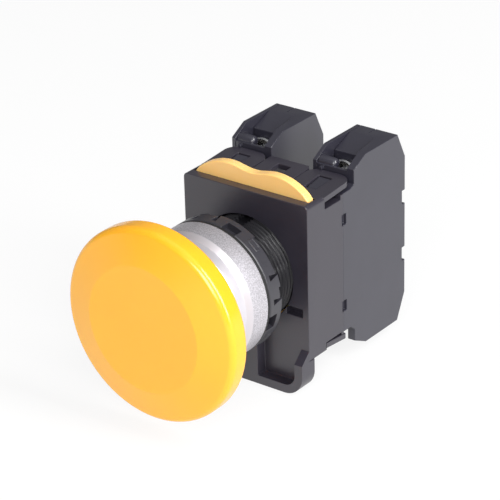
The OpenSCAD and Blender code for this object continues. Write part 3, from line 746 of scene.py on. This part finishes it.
in_keyway &= (np.sin(turns) > 0) & (along >= 0) & outside[None]
keyway_r = KEYWAY_FLOOR / np.maximum(np.sin(turns), 0.5)
radius = np.where(in_keyway, np.minimum(radius, keyway_r), radius)
body_points = np.stack([radius * np.cos(turns), along, radius * np.sin(turns)], -1).reshape(-1, 3)
new_piece(
    "operator_body_threaded", body_points, grid_faces(len(turns), len(body_rows), True, True),
    body_material_with_painted_shade, "operator", "operator_black", ["operator_body"],
)


# Ring nut
# A black polyamide nut with four spanner notches, which clamps the panel from behind. It is the
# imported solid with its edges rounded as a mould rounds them.
NUT_EDGE_R = 0.07
CARRIES_ON = math.radians(140)
FLAT = math.radians(0.6)
FINE_FACET = 0.03
ROOM_FOR_ONE = 1.05
ROOM_FOR_TWO = 2.05
LEAST_SHARE = 0.1


def neighbours(edge):
    """Edges that share a corner with this one: the edge, the angle between both, and the far corner."""
    for corner in edge.verts:
        along = edge.other_vert(corner).co - corner.co
        for other in corner.link_edges:
            if other is not edge:
                far = other.other_vert(corner)
                yield other, along.angle(far.co - corner.co), far


def weigh_edges(work, width):
    """Gives each sharp edge the share of the width for which there is room beside it.

    An edge of length L that leaves a corner at the angle a leaves room L sin(a), and half of it
    where its far end is rounded too. Edges that carry on in one line all get the least share.
    """
    layer = work.edges.layers.float.new("bevel_weight_edge")
    rounded = [e for e in work.edges if e.is_manifold and e.calc_face_angle(0) > math.radians(SHARP)]
    is_rounded = set(rounded)
    share = {}
    for edge in rounded:
        room = width
        for other, angle, far in neighbours(edge):
            if angle < CARRIES_ON:
                parts = ROOM_FOR_TWO if any(e in is_rounded for e in far.link_edges) else ROOM_FOR_ONE
                room = min(room, other.calc_length() * math.sin(angle) / parts)
        share[edge] = room / width
    settled = False
    while not settled:
        settled = True
        for edge in rounded:
            for other, angle, far in neighbours(edge):
                if other in is_rounded and angle > CARRIES_ON and share[other] < share[edge]:
                    share[edge] = share[other]
                    settled = False
    for edge in rounded:
        edge[layer] = share[edge] if share[edge] > LEAST_SHARE else 0.0


def softened(node, name, edge, material, body, slot, steps=2):
    """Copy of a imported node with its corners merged, flat faces joined and sharp edges rounded.

    The roundings are edge mm wide, or the share of it that weigh_edges gives. Corners closer than
    FINE_FACET are merged, because an arc of finer facets can't carry a rounding.
    """
    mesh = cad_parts[node].data.copy()
    mesh.name = name
    work = bmesh.new()
    work.from_mesh(mesh)
    bmesh.ops.remove_doubles(work, verts=work.verts, dist=FINE_FACET * MM)
    bmesh.ops.dissolve_limit(work, angle_limit=FLAT, verts=work.verts, edges=work.edges)
    weigh_edges(work, edge * MM)
    work.to_mesh(mesh)
    work.free()
    piece = hand_over(name, mesh, material, body, slot, [node], SHARP)
    rounding = piece.modifiers.new("moulded_edges", "BEVEL")
    rounding.width = edge * MM
    rounding.segments = steps
    rounding.limit_method = "WEIGHT"
    rounding.use_clamp_overlap = False
    rounding.loop_slide = False
    rounding.harden_normals = True
    return piece


# The nut's moulded polyamide: lighter than the body's, which is darkened as painted shade, and its
# edges gleam a little more
nut_material = polyamide("black_moulded_polyamide", "#25242a", "#2f2e36", 1.7)
softened("lock_nut", "lock_nut_moulded", NUT_EDGE_R, nut_material, "operator", "operator_black")


# Holder
# Black polyamide housing, moulded in one piece with its tongues and the hook at its lower edge.
# It snaps on the shank behind the panel, and the slot in its front ends at a thin web of the same
# black: a dark sheet put there as painted shade, which hides the latch behind the slot.
HOLDER_EDGE_R = 0.14
SLOT_X = (9.5, 13.65)
SLOT_Z = (-7.45, -5.45)
SLOT_SHADE_WEB_Y = (12.6, 12.95)
SLOT_SHADE_WEB_EDGE_R = 0.05

# Textured polyamide: a fine half-matt grain from the spark-eroded mould, drawn at 0.14 mm, about
# twice the real one, so that it shows. Tone and gloss vary in patches of some 5 mm.
EROSION_MM = 0.14
HOLDER_PATCH_MM = 5
holder_material = empty_material("black_textured_polyamide")
tree = holder_material.node_tree
coords = add(tree, "ShaderNodeTexCoord")
erosion = add(
    tree, "ShaderNodeTexNoise", {"Scale": 1 / (EROSION_MM * MM), "Detail": 3.0, "Roughness": 0.6},
    {"Vector": coords.outputs["Object"]},
)
patch = add(
    tree, "ShaderNodeTexNoise", {"Scale": 1 / (HOLDER_PATCH_MM * MM), "Detail": 4.0},
    {"Vector": coords.outputs["Object"]},
)
bump = add(tree, "ShaderNodeBump", {"Strength": 0.35, "Distance": 0.02 * MM}, {"Height": erosion.outputs[0]})
tone = add(
    tree, "ShaderNodeMix", {".data_type": "RGBA", 6: srgb("#29262f"), 7: srgb("#312e38")},
    {0: patch.outputs[0]},
)
gloss = add(
    tree, "ShaderNodeMapRange", {"From Min": 0.3, "From Max": 0.7, "To Min": 0.33, "To Max": 0.39},
    {"Value": patch.outputs[0]},
)
textured = add(
    tree, "ShaderNodeBsdfPrincipled", {"IOR": 1.7},
    {"Base Color": tone.outputs[2], "Roughness": gloss.outputs[0], "Normal": bump.outputs[0]},
)
add(tree, "ShaderNodeOutputMaterial", {}, {"Surface": textured.outputs[0]})
softened("holder", "holder_moulded", HOLDER_EDGE_R, holder_material, "operator", "holder_black")
# A dark web closing the slot, as painted shade over the latch behind it
extruded(
    "holder_slot_shade_web",
    [[SLOT_X[0], SLOT_Z[0]], [SLOT_X[1], SLOT_Z[0]], [SLOT_X[1], SLOT_Z[1]], [SLOT_X[0], SLOT_Z[1]]],
    *SLOT_SHADE_WEB_Y, SLOT_SHADE_WEB_EDGE_R, holder_material, "operator", "holder_black",
)


# Release latch
# An orange-yellow acetal plate. Its pad stands out of the holder's top and has rounded rims. It
# rests on two small springs of stainless wire, drawn at one length; the real ones give way as the
# pad is pressed.
LATCH_EDGE_R = 0.3
LATCH_SPRING_X = 11.5
LATCH_SPRING_Y = 14.05
LATCH_SPRING_FOOT = -15.25
LATCH_SPRING_LENGTH = 6.2

# Dyed acetal: waxy and slightly translucent, with a slow haze of some 3 mm
HAZE_MM = 3
latch_material = empty_material("orange_yellow_acetal")
tree = latch_material.node_tree
coords = add(tree, "ShaderNodeTexCoord")
haze = add(
    tree, "ShaderNodeTexNoise", {"Scale": 1 / (HAZE_MM * MM), "Detail": 3.0},
    {"Vector": coords.outputs["Object"]},
)
tone = add(
    tree, "ShaderNodeMix", {".data_type": "RGBA", 6: srgb("#fec97a"), 7: srgb("#ffd083")},
    {0: haze.outputs[0]},
)
bump = add(tree, "ShaderNodeBump", {"Strength": 0.08, "Distance": 0.02 * MM}, {"Height": haze.outputs[0]})
dyed_acetal = add(
    tree, "ShaderNodeBsdfPrincipled",
    {"Roughness": 0.33, "IOR": 1.48, "Subsurface Weight": 0.15, "Subsurface Radius": (1.0, 0.6, 0.2),
     "Subsurface Scale": 1.0 * MM},
    {"Base Color": tone.outputs[2], "Normal": bump.outputs[0]},
)
add(tree, "ShaderNodeOutputMaterial", {}, {"Surface": dyed_acetal.outputs[0]})
softened("release_latch", "release_latch_moulded", LATCH_EDGE_R, latch_material, "latch", "latch_yellow", 3)
for side, x in (("left", -LATCH_SPRING_X), ("right", LATCH_SPRING_X)):
    spring = coil(
        f"latch_spring_{side}_wire", (x, LATCH_SPRING_Y, LATCH_SPRING_FOOT), "z", mean_r=0.8,
        wire_r=0.18, length=LATCH_SPRING_LENGTH, turns=8, body="operator", node=f"latch_spring_{side}",
    )
    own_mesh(spring)


# Contact blocks
# Each block is a black polyester housing with a thin cover on its left side, held by two pegs.
# Its hooks snap into the holder's tongues.
CASE_EDGE_R = 0.12
COVER_EDGE_R = 0.1

# Moulded polyester: smoother and glossier than the holder. Its fine grain is drawn at 0.2 mm, so
# that it shows, and its tone varies in patches of some 6 mm.
BLOCK_GRAIN_MM = 0.2
BLOCK_PATCH_MM = 6
block_material = empty_material("black_polyester")
tree = block_material.node_tree
coords = add(tree, "ShaderNodeTexCoord")
fine = add(
    tree, "ShaderNodeTexNoise", {"Scale": 1 / (BLOCK_GRAIN_MM * MM), "Detail": 3.0, "Roughness": 0.55},
    {"Vector": coords.outputs["Object"]},
)
patch = add(
    tree, "ShaderNodeTexNoise", {"Scale": 1 / (BLOCK_PATCH_MM * MM), "Detail": 3.0},
    {"Vector": coords.outputs["Object"]},
)
bump = add(tree, "ShaderNodeBump", {"Strength": 0.2, "Distance": 0.02 * MM}, {"Height": fine.outputs[0]})
tone = add(
    tree, "ShaderNodeMix", {".data_type": "RGBA", 6: srgb("#282731"), 7: srgb("#302f3a")},
    {0: patch.outputs[0]},
)
polyester = add(
    tree, "ShaderNodeBsdfPrincipled", {"Roughness": 0.31, "IOR": 1.7},
    {"Base Color": tone.outputs[2], "Normal": bump.outputs[0]},
)
add(tree, "ShaderNodeOutputMaterial", {}, {"Surface": polyester.outputs[0]})
for side in ("left", "right"):
    for part, edge in (("case", CASE_EDGE_R), ("cover", COVER_EDGE_R)):
        softened(
            f"{side}_{part}", f"{side}_{part}_moulded", edge, block_material, "operator", "block_black",
        )


# Terminals
# Nickel-plated brass strips whose clamp plate is threaded for an M3 screw. The washer and the pan
# head screw are zinc-plated steel. All show through the wire pocket and the holes in the rear.
TERMINAL_EDGE_R = 0.08
WASHER_EDGE_R = 0.06
TERMINAL_Z = 14.35
SCREW_X = {"left": -11.23, "right": 8.82}
SCREW_SHARP = 40.0
PACKED_WELD = 2e-6


def screw(node, name, core_r, crest_r, pitch, point_y, head_y, body, x=0, z=0):
    """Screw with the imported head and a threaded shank: r = core + (crest - core) ridge.

    The ridge runs along the helix y / pitch - turn / 360 degrees, and rises evenly to 1 at the
    middle of each pitch. It fades in over the first pitch. Cones close the shank's two ends.
    """
    rows = np.arange(point_y, head_y + 0.15, pitch / 8)
    turns = np.linspace(0, 2 * math.pi, 48, endpoint=False)[:, None]
    phase = (rows[None] / pitch - turns / (2 * math.pi)) % 1.0
    ridge = 1 - np.abs(phase - 0.5) * 2
    r = core_r + (crest_r - core_r) * ridge * np.clip((rows - point_y) / pitch, 0, 1)[None]
    grid = np.stack([x + r * np.cos(turns), rows[None] + 0 * r, z + r * np.sin(turns)], -1)
    ends = [[x, point_y - 0.2, z], [x, rows[-1], z]]
    points = np.concatenate([grid.reshape(-1, 3), ends])
    count, tip = len(rows), grid.shape[0] * len(rows)
    this = np.arange(len(turns))
    after = (this + 1) % len(turns)
    front = np.stack([this * count, after * count, 0 * this + tip], 1)
    rear = np.stack([after * count + count - 1, this * count + count - 1, 0 * this + tip + 1], 1)
    faces = grid_faces(len(turns), count, True, False).tolist()
    faces += np.stack([front, rear], 1).reshape(-1, 3).tolist()
    shank = bpy.data.meshes.new(name + "_shank")
    shank.from_pydata((points * MM).tolist(), [], faces)
    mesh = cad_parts[node].data.copy()
    mesh.name = name
    work = bmesh.new()
    work.from_mesh(mesh)
    bmesh.ops.remove_doubles(work, verts=work.verts, dist=PACKED_WELD)
    everything = work.verts[:] + work.edges[:] + work.faces[:]
    cut = bmesh.ops.bisect_plane(
        work, geom=everything, plane_co=(0, (head_y + 0.02) * MM, 0), plane_no=(0, 1, 0),
        clear_inner=True,
    )
    rim = [e for e in cut["geom_cut"] if isinstance(e, bmesh.types.BMEdge)]
    bmesh.ops.holes_fill(work, edges=rim)
    work.from_mesh(shank)
    bmesh.ops.recalc_face_normals(work, faces=work.faces)
    work.to_mesh(mesh)
    work.free()
    bpy.data.meshes.remove(shank)
    return hand_over(name, mesh, zinc_material, body, "steel", [node], SCREW_SHARP)


# Zinc plating is bright with a fine crystal grain, and nickel over brass is warmer and softer
zinc_material = metal("zinc_plated_steel", "#c9cacc", "#e6e7e8", 0.25, 0.4)
brass_material = metal("nickel_plated_brass", "#a8a49a", "#c6c2b8", 0.3, 0.5)
for side in ("left", "right"):
    for level, z in (("upper", TERMINAL_Z), ("lower", -TERMINAL_Z)):
        part = f"{side}_{level}"
        softened(
            f"{part}_terminal", f"{part}_terminal_strip", TERMINAL_EDGE_R, brass_material, "operator",
            "brass",
        )
        softened(
            f"{part}_clamp", f"{part}_clamp_washer", WASHER_EDGE_R, zinc_material, "operator", "steel",
        )
        screw(
            f"{part}_screw", f"{part}_screw_threaded", core_r=1.22, crest_r=1.5, pitch=0.5,
            point_y=27.9, head_y=32.73, body="operator", x=SCREW_X[side], z=z,
        )


# Crossbar
# The natural acetal bar that pushes both plungers. A self-tapping screw of zinc-plated steel
# holds it on the stem's end.
PLATE_EDGE_R = 0.12
screw(
    "actuator_screw", "actuator_screw_threaded", core_r=0.85, crest_r=1.05, pitch=0.4, point_y=11.4,
    head_y=17.95, body="button",
)
softened(
    "actuator_plate", "actuator_plate_moulded", PLATE_EDGE_R, stem_material, "button",
    "white_plastic",
)


# Contacts
# Each plunger is moulded in natural acetal. Its cage carries a copper alloy bar with two tips, held
# by a contact spring, and a longer spring pushes the plunger forwards again.
PLUNGER_EDGE_R = 0.1
BRIDGE_EDGE_R = 0.05
BLOCK_X = {"left": -10.03, "right": 10.02}
PLUNGER_SPRING_REAR = 43.15
LEFT_PLUNGER_LENGTH = 11.22
RIGHT_PLUNGER_LENGTH = 7.58
LEFT_CONTACT_FRONT = 27.38
LEFT_CONTACT_LENGTH = 3.04
RIGHT_CONTACT_FRONT = 32.55
RIGHT_CONTACT_LENGTH = 2.14

# Rolled copper alloy: reddish and half bright, with the streaks of rolling
copper_material = metal("rolled_copper_alloy", "#b97f55", "#d39a72", 0.3, 0.5)
for side, bridge_body in (("left", "left_bridge_body"), ("right", "right_plunger_body")):
    softened(
        f"{side}_plunger", f"{side}_plunger_moulded", PLUNGER_EDGE_R, stem_material,
        f"{side}_plunger_body", "white_plastic",
    )
    softened(
        f"{side}_bridge", f"{side}_bridge_strip", BRIDGE_EDGE_R, copper_material, bridge_body,
        "copper_alloy",
    )
spring = coil(
    "left_contact_spring_wire", (BLOCK_X["left"], LEFT_CONTACT_FRONT, 0), "y", mean_r=1.2, wire_r=0.15,
    length=LEFT_CONTACT_LENGTH, turns=5, body="left_plunger_body", node="left_contact_spring",
)
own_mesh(spring)
coil(
    "right_contact_spring_wire", (BLOCK_X["right"], RIGHT_CONTACT_FRONT, 0), "y", mean_r=1.2,
    wire_r=0.15, length=RIGHT_CONTACT_LENGTH, turns=4, body="right_plunger_body",
    node="right_contact_spring",
)
for side, length, turns in (("left", LEFT_PLUNGER_LENGTH, 9), ("right", RIGHT_PLUNGER_LENGTH, 6)):
    spring = coil(
        f"{side}_plunger_spring_wire", (BLOCK_X[side], PLUNGER_SPRING_REAR - length, 0), "y",
        mean_r=1.9, wire_r=0.2, length=length, turns=turns, body="operator",
        node=f"{side}_plunger_spring",
    )
    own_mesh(spring)
